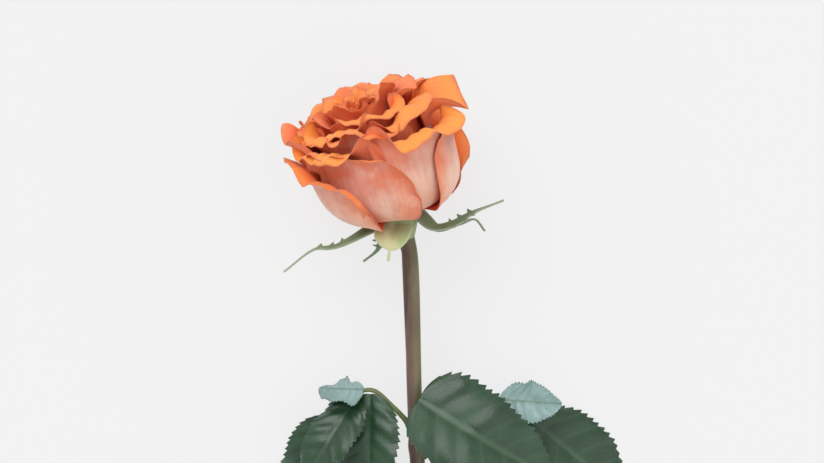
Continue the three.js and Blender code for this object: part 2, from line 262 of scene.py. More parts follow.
# %% Node helpers
class Finish:
    """A material under construction: its node tree and its Principled shader."""

    def __init__(self, name, **sockets):
        self.material = bpy.data.materials.new(name)
        self.material.use_nodes = True
        self.tree = self.material.node_tree
        self.shader = self.tree.nodes["Principled BSDF"]
        for socket, value in sockets.items():
            self.shader.inputs[socket.replace("_", " ")].default_value = value

    def node(self, kind, inputs=None, **settings):
        """A new node. An input given as a socket is linked, and any other is set."""
        made = self.tree.nodes.new("ShaderNode" + kind)
        for setting, value in settings.items():
            setattr(made, setting, value)
        for key, value in (inputs or {}).items():
            if isinstance(value, bpy.types.NodeSocket):
                self.tree.links.new(value, made.inputs[key])
            else:
                made.inputs[key].default_value = value
        return made

    def math(self, operation, a, b=0.0):
        """The result of one arithmetic step."""
        return self.node("Math", {0: a, 1: b}, operation=operation).outputs[0]

    def span(self, value, low, high, to_low=0.0, to_high=1.0):
        """value, smoothly carried from between low and high to between to_low and to_high."""
        made = self.node("MapRange", {"Value": value, 1: low, 2: high, 3: to_low, 4: to_high},
                         interpolation_type="SMOOTHSTEP")
        return made.outputs[0]

    def ramp(self, factor, stops):
        """A colour that changes along factor, through stops of (place, colour)."""
        made = self.node("ValToRGB", {"Fac": factor})
        elements = made.color_ramp.elements
        while len(elements) < len(stops):
            elements.new(0.5)
        for element, (place, colour) in zip(elements, stops):
            element.position = place
            element.color = (*colour, 1.0)
        made.color_ramp.interpolation = "EASE"
        return made.outputs["Color"]

    def blend(self, factor, first, second, how="MIX"):
        """Two colours mixed by factor."""
        made = self.node("Mix", data_type="RGBA", blend_type=how)
        for key, value in ((0, factor), (6, first), (7, second)):
            if isinstance(value, bpy.types.NodeSocket):
                self.tree.links.new(value, made.inputs[key])
            else:
                made.inputs[key].default_value = (*value, 1.0) if key else value
        return made.outputs[2]

    def mark(self, name):
        """What each point remembers under that name."""
        return self.node("Attribute", attribute_name=name).outputs["Fac"]

    def noise(self, vector, scale, detail=3.0, roughness=0.5):
        """Cloudy noise between 0 and 1."""
        made = self.node("TexNoise", {"Vector": vector, "Scale": scale, "Detail": detail,
                                      "Roughness": roughness})
        return made.outputs["Fac"]

    def stretched(self, vector, scale):
        """Coordinates multiplied by a scale for each axis."""
        return self.node("Mapping", {"Vector": vector, "Scale": scale}).outputs[0]

    def wire(self, socket, output):
        """Joins an output to one of the shader's inputs."""
        self.tree.links.new(output, self.shader.inputs[socket])

    def bump(self, height, strength, distance):
        """Fine relief that is too small to be worth any faces."""
        made = self.node("Bump", {"Height": height, "Strength": strength, "Distance": distance})
        self.wire("Normal", made.outputs[0])


# %% [markdown]
# ## The finish of a petal
# A petal is coral on its inner face and pinkish cream on its back. On some petals the inner face turns
# apricot gold towards the rim, and the very margin is a little dry and mauve. Fine veins run from the
# claw to the rim, and the tissue between them is softly mottled. Light passes a short way through it,
# which is what subsurface light does. Each petal remembers how golden its rim is, under the mark sun,
# so one material serves all the petals of a kind.

# %% Petal finishes
def petal_finish(name, inner, back, blush, blush_amount):
    """inner and back are the colours of the two faces from claw to rim, and blush is the mauve that
    clouds over the back."""
    finish = Finish(name, Roughness=0.55, Subsurface_Weight=0.14, Subsurface_Scale=0.004,
                    Subsurface_Radius=(1.0, 0.32, 0.14), Sheen_Weight=0.1, Sheen_Roughness=0.5,
                    Specular_IOR_Level=0.3)
    sheet = finish.node("UVMap", uv_map="Sheet").outputs[0]
    place = finish.node("TexCoord").outputs["Object"]
    parts = finish.node("SeparateXYZ", {0: sheet})
    along = parts.outputs["Y"]
    beside = finish.math("ABSOLUTE", finish.math("SUBTRACT", parts.outputs["X"], 0.5))

    clouds = finish.noise(place, 60.0, 4.0, 0.55)
    drift = finish.span(clouds, 0.25, 0.75, -0.16, 0.16)
    wandering = finish.math("ADD", along, drift)
    inner_face = finish.ramp(wandering, inner)
    back_face = finish.ramp(wandering, back)

    streaks = finish.noise(finish.stretched(sheet, (70.0, 2.2, 1.0)), 1.0, 5.0, 0.62)
    wide_streaks = finish.noise(finish.stretched(sheet, (7.0, 1.3, 1.0)), 1.0, 3.0, 0.6)
    mottled = finish.math("ADD", wide_streaks, finish.math("MULTIPLY", clouds, 0.5))
    # Partly painted highlight: the back keeps its pale cream in the middle, where its bulge faces the
    # light, and turns coral towards its sides. The cream and the coral are both the petal's own colours.
    sides = finish.span(finish.math("ADD", beside, drift), 0.12, 0.46, 0.0, 0.8)
    back_face = finish.blend(sides, back_face, CORAL_AROUND_PAINTED_HIGHLIGHT)
    cloudy = finish.span(mottled, 0.68, 0.96)
    back_face = finish.blend(finish.math("MULTIPLY", cloudy, blush_amount), back_face, blush)
    # Painted shade: the back is darkened to a deep mauve in the pockets that rolled rims and the petals
    # in front shade, broken up by the streaks.
    painted_pocket_shade = finish.math("MULTIPLY", finish.mark("painted_pocket_shade"), finish.span(streaks, 0.3, 0.6, 0.6, 1.0))
    back_face = finish.blend(painted_pocket_shade, back_face, PAINTED_POCKET_SHADE)

    warm = finish.math("MULTIPLY", finish.mark("sun"), finish.span(wandering, 0.62, 0.92))
    inner_face = finish.blend(warm, inner_face, GOLD)
    colour = finish.blend(finish.mark("outside"), inner_face, back_face)
    shade = finish.ramp(streaks, [(0.3, (0.90, 0.84, 0.82)), (0.6, (1.0, 1.0, 1.0))])
    colour = finish.blend(0.7, colour, shade, "MULTIPLY")
    dry = finish.math("MULTIPLY", finish.mark("margin"), finish.span(clouds, 0.40, 0.60, 0.25, 0.75))
    finish.wire("Base Color", finish.blend(dry, colour, DRY_MARGIN))

    finish.wire("Roughness", finish.span(clouds, 0.3, 0.7, 0.46, 0.64))
    pores = finish.noise(place, 2600.0, 2.0, 0.5)
    finish.bump(finish.math("ADD", streaks, finish.math("MULTIPLY", pores, 0.25)), 0.25, 0.0004)
    return finish.material


GOLD = (0.93, 0.30, 0.06)
# The deep mauve of the painted shade on a petal's back.
PAINTED_POCKET_SHADE = (0.46, 0.17, 0.13)
DRY_MARGIN = (0.50, 0.11, 0.06)
MAUVE = (0.56, 0.20, 0.17)
# The coral towards the sides of a petal's back, round the pale middle that is partly a painted
# highlight.
CORAL_AROUND_PAINTED_HIGHLIGHT = (0.84, 0.22, 0.09)
CORAL = [(0.0, (0.84, 0.36, 0.05)), (0.2, (0.82, 0.10, 0.02)), (0.55, (0.86, 0.13, 0.035)),
         (0.8, (0.88, 0.18, 0.06)), (1.0, (0.90, 0.23, 0.085))]
CORAL_BACK = [(0.0, (0.84, 0.45, 0.12)), (0.3, (0.86, 0.22, 0.08)), (0.7, (0.86, 0.18, 0.075)),
              (1.0, (0.90, 0.25, 0.09))]
CREAM_BACK = [(0.0, (0.82, 0.50, 0.30)), (0.2, (0.84, 0.42, 0.28)), (0.45, (0.88, 0.53, 0.40)),
              (0.72, (0.82, 0.40, 0.30)), (0.9, (0.78, 0.24, 0.15)), (1.0, (0.84, 0.24, 0.09))]

heart_finish = petal_finish("coral petal", CORAL, CORAL_BACK, (0.66, 0.12, 0.06), 0.3)
guard_finish = petal_finish("cream backed petal", CORAL, CREAM_BACK, MAUVE, 0.35)
print("finishes:", heart_finish.name, "and", guard_finish.name)

# %% [markdown]
# ## The petals
# Cut a petal down its middle and look at the cut: it leaves the seat nearly level, turns up as the
# wall of a bowl, and rolls outward at its rim. That line is found by walking along it: at each step
# the slope is known, so the walk moves out by its cosine and up by its sine. An older petal starts
# lower and leaves more level, so it lies outside every younger one. The line is then carried round
# part of a circle, with a rounded outline, a small point in the middle of the rim, and waves that
# grow towards the margin, where a real petal has more tissue than it has room for.
#
# The rule gives a perfect bloom, and no rose is perfect, so the petals that are seen best have a line
# each for what sets them apart, and the others differ by chance.

# %% The petal's surface
PETAL_COUNT = 34
OUTER_LENGTH, INNER_LENGTH = 57.0, 42.0
OLDEST_FACING = [200, 33, 124, 252, 15, 163, 304, 78, 220, 343]
GOLDEN_ANGLE = 137.5
HEART_LEAN = np.radians(13.0)
GUARD_COUNT = 12                 # how many of the oldest petals have a cream back
MARGIN_THICKNESS, PETAL_THICKNESS = 0.16, 0.34
COLUMN_CROWDING = 1.35           # how much closer together the columns are near the sides

# A petal's form, as a value for the youngest petal and one for the oldest.
HALF_ANGLE = (62, 44)            # half width round the bloom, in degrees
CLAW_SHARE = (0.38, 0.62)        # width at the seat, as a share of the full width
SEAT_SLOPE = (80, -8)            # slope where it leaves the seat, in degrees
WALL_SLOPE = (94, 85)            # slope of the wall of the bowl
RIM_SLOPE = (74, -24)            # slope of the rolled rim, which falls outward where it is below 0
WALL_REACHED = (15, 34)          # how far along it the wall has its full slope, in millimetres
ROLL_LENGTH = (9, 17)            # how long the rolled rim is, in millimetres

# What sets a petal apart. turn is added to its facing, in degrees; length and width are shares of the
# rule's; shoulder is how much shorter its sides are than its middle; slant makes its right side longer;
# wall and rim are the slopes of its wall and of its rolled rim, in degrees; hold is how far its sides
# are held in out of the roll; roll is the length of the roll, and tip that of the point of its rim, in
# millimetres; sun is how golden its rim is, and bruise is the place of a painted shade: a darker mauve
# patch in the pockets that rolled rims and the petals in front shade.
SPECIAL = {
    0: dict(length=0.86, width=1.15, shoulder=0.36, wall=82, rim=0, hold=0, roll=14, tip=5, sun=0.5),
    1: dict(turn=20, length=0.88, width=0.85, shoulder=0.42, wall=95, rim=-6, hold=0.5, roll=18, tip=6,
            sun=0.4),
    2: dict(length=1.0, rim=32, hold=0, tip=3, sun=0.4),
    3: dict(turn=-7, length=0.90, width=0.95, slant=-0.13, rim=5, hold=0, roll=10, tip=1, sun=0.6,
            painted_pocket_shade=(-0.45, 0.93)),
    4: dict(turn=-22, length=0.78, width=0.95, wall=84, rim=68, roll=12, tip=1, sun=0.2,
            painted_pocket_shade=(-0.3, 0.85)),
    5: dict(length=1.0, width=1.0, shoulder=0.36, rim=-2, roll=18, tip=7, sun=0.0),
    6: dict(length=1.0, width=0.9, slant=-0.05, rim=-34, roll=16, tip=2, sun=1.0, painted_pocket_shade=(0.5, 0.7)),
    7: dict(length=1.0, rim=20, roll=16, tip=6, sun=0.3),
    8: dict(length=0.97, width=1.05, rim=-26, roll=19, tip=3, sun=1.0),
    9: dict(turn=20, length=1.0, width=0.85, shoulder=0.2, wall=90, rim=-12, hold=0.9, roll=20, tip=7,
            sun=0.7),
    11: dict(length=0.97, rim=-24, roll=13, tip=2, sun=0.5),
    14: dict(length=0.99, rim=-28, roll=13, tip=1, sun=0.8),
    16: dict(length=1.03, width=1.1, rim=-36, roll=16, tip=1, sun=1.0),
    19: dict(length=1.03, width=1.1, rim=-32, roll=13, tip=1, sun=0.8),
}


def facing_of(index):
    """The direction in which the rule has a petal face, in radians round the bloom."""
    last = len(OLDEST_FACING) - 1
    if index <= last:
        return np.radians(OLDEST_FACING[index])
    return np.radians(OLDEST_FACING[last] + (index - last) * GOLDEN_ANGLE)


def form_of(index, age):
    """The rule's form for a petal of this age, with chance for the young and SPECIAL for the old."""
    chance = np.random.default_rng(40 + index)
    form = dict(turn=0.0, length=chance.uniform(0.94, 1.06), width=chance.uniform(0.9, 1.1), slant=0.0,
                shoulder=0.26, wall=mix(*WALL_SLOPE, age), hold=1.0,
                rim=mix(*RIM_SLOPE, age ** 0.6) + chance.uniform(-14, 14), roll=mix(*ROLL_LENGTH, age),
                tip=chance.uniform(0.5, 3), sun=chance.choice([0.0, 0.2, 0.7]), painted_pocket_shade=None)
    form.update(SPECIAL.get(index, {}))
    return form


def lean_heart(points):
    """Turns the middle of the bloom to the left about its seat, less and less towards its outside."""
    reach = OUTER_LENGTH * 0.72
    outward = np.hypot(points[..., 0], points[..., 1]) / reach
    turn = HEART_LEAN * np.clip(1 - outward ** 2, 0, 1) * ease(points[..., 2] / reach)
    x, z = points[..., 0], points[..., 2]
    moved = points.copy()
    moved[..., 0] = x * np.cos(turn) - z * np.sin(turn)
    moved[..., 2] = x * np.sin(turn) + z * np.cos(turn)
    return moved


def wander(points):
    """Carries whole neighbourhoods of the bloom a little aside, so that no ring of rims is a circle.

    Each direction is moved by a product of two slow sines of the other places, more near the top."""
    x, y, z = np.moveaxis(points, -1, 0)
    amount = 1.7 * ease(z / 30.0)
    shift = np.stack([np.sin(y / 7.5 + 0.6) * np.cos(z / 11.0),
                      np.sin(x / 8.5 + 2.1) * np.cos(z / 12.0 + 1.0),
                      np.sin(x / 9.0 - 0.7) * np.sin(y / 8.0 + 1.9)], axis=-1)
    return points + shift * amount[..., None]


def petal_grid(index, rows=96, columns=48):
    """A petal's middle surface, standing, in millimetres, with its across and along values.

    For each column the slope is walked from seat to rim, which gives a radius and a height. The column
    stands at an angle round the bloom that is the facing plus across times the half width."""
    age = 1 - index / (PETAL_COUNT - 1)
    form = form_of(index, age)
    column = np.linspace(-1, 1, columns + 1)
    across = np.sin(COLUMN_CROWDING * column) / np.sin(COLUMN_CROWDING)
    along = np.linspace(0, 1, rows + 1)
    along = mix(along, np.sin(along * np.pi / 2), 0.45)
    U, V = np.meshgrid(across, along)

    full = mix(INNER_LENGTH, OUTER_LENGTH, age ** 0.7) * form["length"]
    edge = np.sqrt(np.clip(1 - np.abs(across) ** 2.4, 0, 1))
    length = full * (1 - form["shoulder"] * (1 - edge) + form["slant"] * across)
    length = length + form["tip"] * np.exp(-(np.abs(across) / 0.2) ** 1.4)
    uneven = ripple(across, [(0.6, 1.2), (1.7, 0.7), (4.1, 0.3)], 200 + index)
    length = length + uneven * mix(0.6, 1, age)

    walked = V * length
    middle = (walked[1:] + walked[:-1]) / 2
    wall = ease(middle / mix(*WALL_REACHED, age))
    roll = ease((middle - (length - form["roll"])) / form["roll"])
    wavy = ripple(across, [(0.5, 12), (1.2, 9), (2.4, 5)], 300 + index) * mix(0.4, 1, age)
    held_in = form["hold"] * ease((np.abs(across) - 0.45) / 0.45)
    rim_slope = mix(form["rim"] + wavy, form["wall"], held_in)
    seat_slope = mix(*SEAT_SLOPE, age ** 0.8)
    slope = np.radians(mix(mix(seat_slope, form["wall"], wall), rim_slope, roll))
    steps = np.diff(walked, axis=0)
    ground = np.zeros((1, columns + 1))
    outward = np.vstack([ground, np.cumsum(np.cos(slope) * steps, 0)])
    upward = np.vstack([ground, np.cumsum(np.sin(slope) * steps, 0)])
    radius = mix(SEAT_INNER_RADIUS, SEAT_RADIUS, age) + outward
    height = mix(SEAT_RISE, 0, age) + upward

    claw = mix(mix(*CLAW_SHARE, age), 1.0, ease(V / 0.55))
    facing = facing_of(index) + np.radians(form["turn"])
    turn = facing + np.radians(mix(*HALF_ANGLE, age)) * form["width"] * claw * U
    grid = np.stack([radius * np.cos(turn), radius * np.sin(turn), height], axis=-1)

    push = 0.9 * U * ease((V - 0.3) / 0.7)
    push = push + 1.6 * np.clip((np.abs(U) - 0.7) / 0.3, 0, 1) ** 2 * ease(V / 0.5) * age
    loose = ease((V - 0.6) / 0.4) ** 1.5 * mix(0.4, 1.0, age)
    push = push + loose * ripple(U + 0.15 * V, [(0.8, 0.7), (1.9, 0.5), (4.3, 0.22)], 400 + index)
    push = push + 0.4 * ease(V / 0.4) * ripple(V + 0.3 * U, [(1.1, 0.6), (2.3, 0.4)], 500 + index)
    grid = grid + normals_of(grid) * push[..., None]
    return lean_heart(wander(grid)), U, V, form


def petal(index):
    """One petal as a closed sheet that is thinner towards its margin."""
    grid, U, V, form = petal_grid(index)
    inward = ease((1 - np.abs(U)) / 0.12) * ease((1 - V) / 0.08)
    half = mix(MARGIN_THICKNESS, PETAL_THICKNESS, inward)[..., None] / 2
    normals = normals_of(grid)
    points, faces = closed_sheet(to_rose(grid + normals * half), to_rose(grid - normals * half))
    uv = np.tile(np.stack([U / 2 + 0.5, V], axis=-1).reshape(-1, 2), (2, 1))
    margin = np.maximum(ease((np.abs(U) - 0.94) / 0.06), ease((V - 0.97) / 0.03))
    # The place of the painted shade on the back, a soft spot round the given across and along values.
    painted_pocket_shade = np.zeros_like(U)
    if form["painted_pocket_shade"]:
        at_across, at_along = form["painted_pocket_shade"]
        painted_pocket_shade = np.exp(-((U - at_across) / 0.24) ** 2 - ((V - at_along) / 0.09) ** 2)
    marks = {"outside": np.repeat([1.0, 0.0], U.size), "margin": np.tile(margin.ravel(), 2),
             "painted_pocket_shade": np.tile(painted_pocket_shade.ravel(), 2), "sun": np.full(2 * U.size, form["sun"])}
    name = f"petal_{index:02d}"
    finish = guard_finish if index < GUARD_COUNT else heart_finish
    return mesh_piece(name + "_sheet", points, faces, finish, name, uv, marks)


# %% Grow the petals
petals = [petal(index) for index in range(PETAL_COUNT)]
print(len(petals), "petals of", len(petals[0].data.polygons), "faces each")

# %% [markdown]
# ## Green and brown finishes
# The receptacle and the sepals are pale, downy green. The stem is olive and turns purple-brown on the
# side that had the most sun. Leaves are dark and waxy above, with paler veins, and pale blue-green
# underneath, paler than their own underside because part of that paleness is a painted sheen highlight.

# %% Plant finishes
def green_finish(name, colours, patch_scale, roughness, bump_scale, sheen=0.0):
    """A finish whose colour wanders between a few greens, with fine relief."""
    finish = Finish(name, Roughness=roughness, Sheen_Weight=sheen, Specular_IOR_Level=0.4,
                    Subsurface_Weight=0.08, Subsurface_Scale=0.002, Subsurface_Radius=(0.5, 1.0, 0.3))
    place = finish.node("TexCoord").outputs["Object"]
    patches = finish.noise(finish.stretched(place, (1.0, 0.35, 1.0)), patch_scale, 5.0, 0.6)
    finish.wire("Base Color", finish.ramp(patches, colours))
    finish.wire("Roughness", finish.span(patches, 0.3, 0.7, roughness - 0.08, roughness + 0.08))
    finish.bump(finish.noise(place, bump_scale, 3.0), 0.3, 0.0003)
    return finish.material


hip_finish = green_finish("downy green", [(0.3, (0.20, 0.27, 0.10)), (0.7, (0.34, 0.40, 0.18))],
                          160.0, 0.6, 1500.0, 0.2)


def stem_finish():
    """Olive bark with a purple-brown flank and faint fibres, and pale wood where it is cut."""
    finish = Finish("stem bark", Roughness=0.45, Specular_IOR_Level=0.45)
    place = finish.node("TexCoord").outputs["Object"]
    flank = finish.mark("flank")
    fibres = finish.noise(finish.stretched(place, (1.0, 0.03, 1.0)), 900.0, 4.0, 0.6)
    patches = finish.noise(finish.stretched(place, (1.0, 0.3, 1.0)), 90.0, 4.0, 0.6)
    olive = finish.ramp(patches, [(0.3, (0.10, 0.085, 0.035)), (0.7, (0.17, 0.15, 0.07))])
    brown = finish.ramp(patches, [(0.3, (0.085, 0.045, 0.035)), (0.7, (0.15, 0.09, 0.07))])
    bark = finish.blend(finish.span(flank, -0.3, 0.7), olive, brown)
    fine = finish.ramp(fibres, [(0.35, (0.75, 0.75, 0.75)), (0.6, (1.0, 1.0, 1.0))])
    bark = finish.blend(0.6, bark, fine, "MULTIPLY")
    finish.wire("Base Color", finish.blend(finish.mark("cut"), bark, (0.52, 0.50, 0.30)))
    finish.wire("Roughness", finish.span(fibres, 0.3, 0.7, 0.36, 0.52))
    finish.bump(fibres, 0.3, 0.0003)
    return finish.material


def blade_finish(name, upper, lower, vein, roughness, sheen=0.0):
    """A leaf or sepal: an upper and a lower face, with veins that points of the sheet remember."""
    finish = Finish(name, Roughness=roughness, Specular_IOR_Level=0.5, Sheen_Weight=sheen,
                    Subsurface_Weight=0.06, Subsurface_Scale=0.002, Subsurface_Radius=(0.4, 1.0, 0.3))
    place = finish.node("TexCoord").outputs["Object"]
    clouds = finish.noise(place, 70.0, 4.0, 0.55)
    upper_face = finish.ramp(clouds, [(0.3, upper[0]), (0.7, upper[1])])
    lower_face = finish.ramp(clouds, [(0.3, lower[0]), (0.7, lower[1])])
    net = finish.node("TexVoronoi", {"Vector": place, "Scale": 900.0}, feature="DISTANCE_TO_EDGE")
    lines = finish.span(net.outputs["Distance"], 0.0, 0.16, 1.0, 0.0)
    veins = finish.math("MAXIMUM", finish.mark("vein"), finish.math("MULTIPLY", lines, 0.12))
    colour = finish.blend(finish.mark("outside"), lower_face, upper_face)
    finish.wire("Base Color", finish.blend(finish.math("MULTIPLY", veins, 0.6), colour, vein))
    finish.wire("Roughness", finish.span(clouds, 0.3, 0.7, roughness - 0.06, roughness + 0.1))
    grain = finish.noise(place, 1400.0, 2.0)
    relief = finish.math("SUBTRACT", grain, finish.math("MULTIPLY", lines, 0.15))
    finish.bump(relief, 0.3, 0.0003)
    return finish.material


bark_finish = stem_finish()
# The lower face is the leaf's own pale blue-green made paler still; that extra paleness is a painted
# highlight of its sheen.
leaf_finish = blade_finish("waxy leaf", [(0.010, 0.036, 0.015), (0.021, 0.062, 0.029)],
                           [(0.16, 0.26, 0.25), (0.27, 0.39, 0.39)], (0.055, 0.11, 0.055), 0.34)
sepal_finish = blade_finish("sepal", [(0.09, 0.15, 0.07), (0.19, 0.27, 0.14)],
                            [(0.10, 0.17, 0.09), (0.17, 0.25, 0.14)], (0.36, 0.42, 0.30), 0.55, 0.2)
downy_finish = blade_finish("downy sepal", [(0.32, 0.40, 0.16), (0.56, 0.55, 0.30)],
                            [(0.24, 0.32, 0.14), (0.36, 0.42, 0.22)], (0.62, 0.64, 0.50), 0.65, 0.4)
stalk_finish = green_finish("leaf stalk bark", [(0.3, (0.12, 0.07, 0.045)), (0.55, (0.13, 0.16, 0.06)),
                                                (0.75, (0.20, 0.27, 0.09))], 60.0, 0.45, 1500.0)
print("finishes:", bark_finish.name, leaf_finish.name, sepal_finish.name, stalk_finish.name)

# %% [markdown]
# ## The receptacle
# This is the green swelling that will one day be the hip. It is a turned shape: one smooth profile
# carried round the axis. A few shallow ribs run down it, because five sepals pull at it from above.

# %% Receptacle
def receptacle():
    """The profile, smoothed by a spline and carried round, with its radius rippled five times."""
    outline = np.insert(HIP_PROFILE[1:-1], 1, 0.0, axis=1)
    smooth = spline(outline, 40)[:, [0, 2]]
    sides = 60
    turn = np.linspace(0, 2 * np.pi, sides, endpoint=False)
    radius = smooth[:, :1] * (1 + 0.02 * np.sin(5 * turn) * ease((smooth[:, 1:] + 11) / 4))
    grid = np.stack([radius * np.cos(turn), radius * np.sin(turn), smooth[:, 1:] + 0 * turn], axis=-1)
    low = grid[:1] * np.array([0.02, 0.02, 1])
    high = grid[-1:] * np.array([0.02, 0.02, 1])
    grid = np.concatenate([low, grid, high])
    faces = rod_faces(len(grid), sides)[:, ::-1]
    points = to_rose(grid.reshape(-1, 3))
    return mesh_piece("receptacle_skin", points, faces, hip_finish, "receptacle")


receptacle()
print("receptacle made")

# %% [markdown]
# ## The stem
# The stem follows a spline from the receptacle to the cut end. It swells a little at each node, where
# a leaf grows or once grew, and it carries hooked prickles, which are outgrowths of its skin.

# %% Stem
STEM_TOP, STEM_CUT = 3.0, 2.8
AXIS = TURN[:, 2]
FLOOR = -SEAT[2] / MM
STEM_REACH = (SEAT[1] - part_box("stem")[0][1]) / MM
NODES = [85, 93, 186, 262]   # how far below the seat the stem swells, in millimetres
PRICKLES = [(0.31, 160), (0.38, 30), (0.49, 205), (0.61, 330), (0.68, 85), (0.77, 190), (0.85, 350),
            (0.93, 120)]     # share of the stem's length, and the side in degrees
PRICKLE_LENGTH, PRICKLE_RADIUS, PRICKLE_HOOK = 4.2, 1.1, 1.6
PRICKLE_SIDES = 16

stem_points = [AXIS * -(HIP_LENGTH - 1.5), AXIS * -(HIP_LENGTH + 8),
               (5.4, -76, mix(-6, FLOOR, 0.28)),
               (9, -STEM_REACH * 0.45, mix(-6, FLOOR, 0.5)),
               (11, -STEM_REACH * 0.75, mix(-6, FLOOR, 0.74)),
               (14, -STEM_REACH, FLOOR + STEM_CUT)]
stem_path = spline(stem_points, 420)
stem_share = np.linspace(0, 1, len(stem_path))


def stem_at(down):
    """The middle of the stem a given distance below the seat, along the rose."""
    order = -stem_path[:, 1]
    return np.array([np.interp(down, order, stem_path[:, axis]) for axis in range(3)])


def prickle(share, side):
    """Rings of a hooked cone, sunk in the bark: out by its length, and down by the hook as the square.

    The cone is longer along the stem than across it, and it ends in a point."""
    place = int(round(share * (len(stem_path) - 1)))
    down = unit(stem_path[place + 1] - stem_path[place - 1])
    turn = np.radians(side)
    out = np.array([np.cos(turn), 0, np.sin(turn)])
    out = unit(out - down * (out @ down))
    across = np.cross(down, out)
    way = np.linspace(0, 1, 15)
    spine = stem_path[place] + out * (2.0 + PRICKLE_LENGTH * way[:, None])
    spine = spine + down * PRICKLE_HOOK * way[:, None] ** 2
    radius = PRICKLE_RADIUS * (1 - way) ** 0.9 * (1 + 0.7 * np.exp(-(way / 0.3) ** 2)) + 0.02
    radius = np.r_[0.02, radius, 0.0]
    spine = np.vstack([spine[:1], spine, spine[-1:]])
    around = np.linspace(0, 2 * np.pi, PRICKLE_SIDES, endpoint=False)[:, None]
    ring = across * 0.6 * np.cos(around) + down * 1.6 * np.sin(around)
    return spine[:, None] + radius[:, None, None] * ring


def stem():
    """Rings round the path, whose radius tapers and swells at the nodes, and its prickles."""
    sides = 40
    down = -stem_path[:, 1]
    radius = mix(STEM_TOP, STEM_CUT, stem_share)
    for node in NODES:
        radius = radius + 0.45 * np.exp(-((down - node) / 3.0) ** 2)
    radius = radius + 0.5 * np.exp(-(down / 14.0) ** 2)
    turn = np.linspace(0, 2 * np.pi, sides, endpoint=False)
    ribs = 1 + 0.012 * np.sin(3 * turn + 1) + 0.006 * np.sin(7 * turn)
    grid, faces = capped_rod(stem_path, radius[:, None] * ribs, sides, np.array([0.0, 0.0, 1.0]))
    flank = [np.tile(np.cos(turn - 0.3), len(grid))]
    cut = np.zeros(grid.shape[:2])
    cut[-3:] = 1.0
    points, faces = [grid.reshape(-1, 3)], [faces]
    for share, side in PRICKLES:
        cone = prickle(share, side)
        faces.append(rod_faces(len(cone), PRICKLE_SIDES) + sum(map(len, points)))
        points.append(cone.reshape(-1, 3))
        flank.append(np.ones(len(points[-1])))
    marks = {"flank": np.concatenate(flank)}
    marks["cut"] = np.pad(cut.ravel(), (0, len(marks["flank"]) - cut.size))
    return mesh_piece("stem_bark", beside_seat(np.vstack(points)), np.vstack(faces), bark_finish, "stem",
                      marks=marks)


stem()
print("stem made,", round(STEM_REACH), "mm from the seat to the cut, with", len(PRICKLES), "prickles")

# %% [markdown]
# ## Blades: sepals and leaflets
# A sepal and a leaflet are both blades: a sheet that follows a middle line, as wide as an outline
# says. Across the blade the sheet is walked outward from the midrib, and the slope of that walk folds
# the two halves up, cups them or rolls a margin right over.

# %% The blade's surface
def blade_grid(path, facing, half_width, slope_right, slope_left, columns):
    """Points of a blade: the middle line plus the walk across it, side cos slope and up sin slope.

    slope_right and slope_left give the slope in degrees for each share from midrib to margin and
    each row."""
    forward, side, up = frames_along(path, unit(np.asarray(facing, float)))
    share = np.sin(np.linspace(0, np.pi / 2, columns + 1))
    steps = np.diff(share)[None, :]
    middle = ((share[1:] + share[:-1]) / 2)[None, :]
    rows = np.linspace(0, 1, len(path))[:, None]
    halves = []
    for slope, sign in ((slope_left, -1), (slope_right, 1)):
        angle = np.radians(slope(middle, rows) + 0 * middle * rows)
        out = np.hstack([np.zeros((len(path), 1)), np.cumsum(np.cos(angle) * steps, 1)])
        rise = np.hstack([np.zeros((len(path), 1)), np.cumsum(np.sin(angle) * steps, 1)])
        half = (side[:, None] * out[..., None] * sign + up[:, None] * rise[..., None])
        halves.append(half * half_width[:, None, None])
    left, right = halves
    grid = path[:, None] + np.concatenate([left[:, :0:-1], right], axis=1)
    across = np.concatenate([-share[:0:-1], share])
    U, V = np.meshgrid(across, rows[:, 0])
    return grid, U, V


def blade_piece(name, grid, U, V, thickness, relief, vein, finish, cad_node):
    """A closed blade whose upper face carries the relief, with ridged veins underneath."""
    normals = normals_of(grid)
    upper = grid + normals * (thickness / 2 + relief)[..., None]
    lower = grid - normals * (thickness / 2 - relief + 0.25 * vein * thickness)[..., None]
    points, faces = closed_sheet(beside_seat(upper), beside_seat(lower))
    uv = np.tile(np.stack([U / 2 + 0.5, V], axis=-1).reshape(-1, 2), (2, 1))
    marks = {"outside": np.repeat([1.0, 0.0], U.size), "vein": np.tile(vein.ravel(), 2)}
    return mesh_piece(name, points, faces, finish, cad_node, uv, marks)


# %% [markdown]
# ## The sepals
# Five sepals closed round the bud and have bent back now that it is open. Each is a narrow blade with
# a long, drawn-out tip and a few thin side lobes, and its margin is edged with white down.

# %% Sepals
# Each has its side of the bloom in degrees, its width, the way its upper face looks, and the points
# that its middle line goes through, in millimetres from the seat.
SEPALS = [
    (245, 14, (0, 1, 0.9), [(-3.4, -9.3, 11), (-4, -13.5, 14), (-4.8, -19.5, 13)]),
    (182, 11, (-0.1, 1, 0.4), [(-14, -9.5, 2.5), (-25, -14.5, 2), (-34, -15.5, -3), (-46, -24, -8)]),
    (335, 11, (0.1, 1, 0.4), [(13, -7.5, 4), (20, -6, 4.5), (28, -1, 2), (40, 4, -2)]),
    (112, 11, (-0.6, 0.4, -0.7), [(-7, -9, -11), (-9, -15, -13.5), (-15, -20, -14)]),
    (40, 11, (0.1, 1, -0.3), [(14, -8, -8), (23, -5.5, -9), (29, -3.5, -8), (33, -8, -9)]),
]

BROAD_SEPAL = 1
SEPAL_THICKNESS = 0.55


